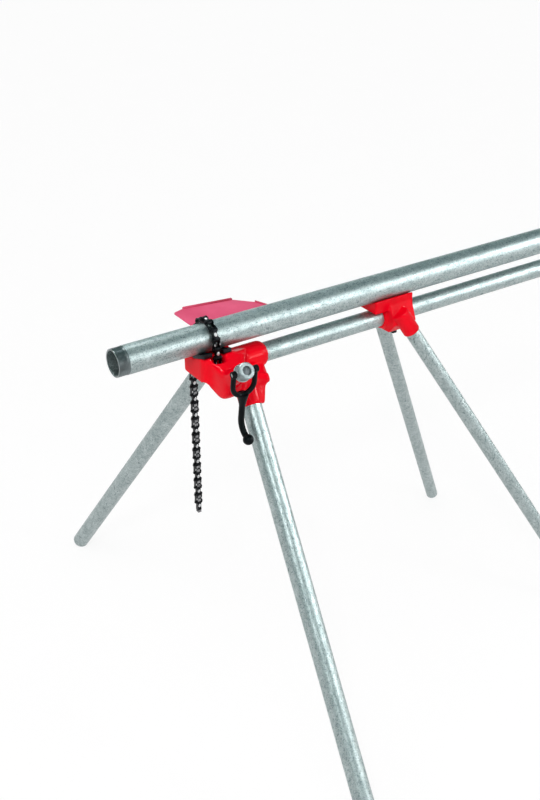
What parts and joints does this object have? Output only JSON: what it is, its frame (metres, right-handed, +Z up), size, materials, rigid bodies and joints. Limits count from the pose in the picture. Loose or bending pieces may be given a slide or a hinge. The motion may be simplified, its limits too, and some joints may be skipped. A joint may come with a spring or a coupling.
{
  "type": "portable pipe vise stand",
  "caption": "Portable stand that grips a pipe in V jaws under a chain, drawn tight by a nut with a folding fork handle; cast head and rear support on pipe legs.",
  "frame": {"origin": "on the ground under the middle of the work pipe", "axes": "+Y along the pipes from the head to the rear support, +Z up, +X towards the side with the draw screw and handle"},
  "size_m": [1.4386, 1.2192, 0.9833],
  "materials": {
    "red_casting": "glossy enamel on cast iron",
    "red_tray": "glossy enamel on pressed sheet",
    "galvanised": "hot dip galvanised, mottled",
    "jaw_steel": "blackened, teeth worn bright",
    "black_fasteners": "black oxide",
    "zinc": "bright zinc plate",
    "black_forging": "satin black",
    "screw_steel": "dark, oiled",
    "chain_steel": "dark, oiled"
  },
  "bodies": {
    "stand": {"vise_base": "red_casting", "front_jaw": "jaw_steel", "rear_jaw": "jaw_steel", "jaw_screws": "black_fasteners", "tray": "red_tray", "tray_bolts": "black_fasteners", "rail_pipe": "galvanised", "head_clamp_screw": "black_fasteners", "near_front_leg": "galvanised", "far_front_leg": "galvanised", "front_leg_screws": "black_fasteners", "thrust_washer": "zinc", "chain_loop_outer_links": "chain_steel", "chain_loop_inner_links": "chain_steel", "chain_slack_link": "chain_steel"},
    "draw_screw": {"chain_screw": "screw_steel", "chain_first_link": "chain_steel"},
    "nut": {"handle_nut": "zinc", "trunnion_pins": "zinc"},
    "fork_handle": {"handle": "black_forging"},
    "rear": {"rear_support": "red_casting", "near_rear_leg": "galvanised", "far_rear_leg": "galvanised", "rear_leg_screws": "black_fasteners", "rear_clamp_screw": "black_fasteners"},
    "pipe": {"work_pipe": "galvanised"},
    "tail_1": {"chain_tail_1_inner_links": "chain_steel", "chain_tail_1_outer_links": "chain_steel"},
    "tail_2": {"chain_tail_2_inner_links": "chain_steel", "chain_tail_2_outer_links": "chain_steel"},
    "tail_3": {"chain_tail_3_inner_links": "chain_steel", "chain_tail_3_outer_links": "chain_steel"},
    "tail_4": {"chain_tail_4_inner_links": "chain_steel", "chain_tail_4_outer_links": "chain_steel"},
    "tail_5": {"chain_tail_5_inner_links": "chain_steel", "chain_tail_5_outer_links": "chain_steel"}
  },
  "joints": [
    {"name": "nut_turn", "type": "hinge", "parent": "stand", "child": "nut", "pos_m": [0.1445, -0.3936, 0.92047], "axis": [-0.7986, 0, -0.6018], "range_deg": [0, 100]},
    {"name": "screw_draw", "type": "slide", "parent": "stand", "child": "draw_screw", "axis": [0.7986, 0, 0.6018], "range_m": [0, 0.001]},
    {"name": "handle_fold", "type": "hinge", "parent": "nut", "child": "fork_handle", "pos_m": [0.1445, -0.3936, 0.92047], "axis": [0, -1, 0], "range_deg": [0, 230]},
    {"name": "pipe_slide", "type": "slide", "parent": "stand", "child": "pipe", "axis": [0, 1, 0], "range_m": [-0.15, 0.15]},
    {"name": "rear_slide", "type": "slide", "parent": "stand", "child": "rear", "axis": [0, 1, 0], "range_m": [-0.15, 0.3]},
    {"name": "tail_swing_1", "type": "hinge", "parent": "stand", "child": "tail_1", "pos_m": [-0.0624, -0.3936, 0.89569], "axis": [0, 1, 0], "range_deg": [-8, 25]},
    {"name": "tail_swing_2", "type": "hinge", "parent": "tail_1", "child": "tail_2", "pos_m": [-0.0624, -0.3936, 0.77569], "axis": [0, 1, 0], "range_deg": [-15, 15]},
    {"name": "tail_swing_3", "type": "hinge", "parent": "tail_2", "child": "tail_3", "pos_m": [-0.0624, -0.3936, 0.69569], "axis": [0, 1, 0], "range_deg": [-15, 15]},
    {"name": "tail_swing_4", "type": "hinge", "parent": "tail_3", "child": "tail_4", "pos_m": [-0.0624, -0.3936, 0.61569], "axis": [0, 1, 0], "range_deg": [-15, 15]},
    {"name": "tail_swing_5", "type": "hinge", "parent": "tail_4", "child": "tail_5", "pos_m": [-0.0624, -0.3936, 0.53569], "axis": [0, 1, 0], "range_deg": [-15, 15]}
  ],
  "couplings": [
    {"joint": "screw_draw", "follows": "nut_turn", "m_per_rad": 0.0004043}
  ]
}
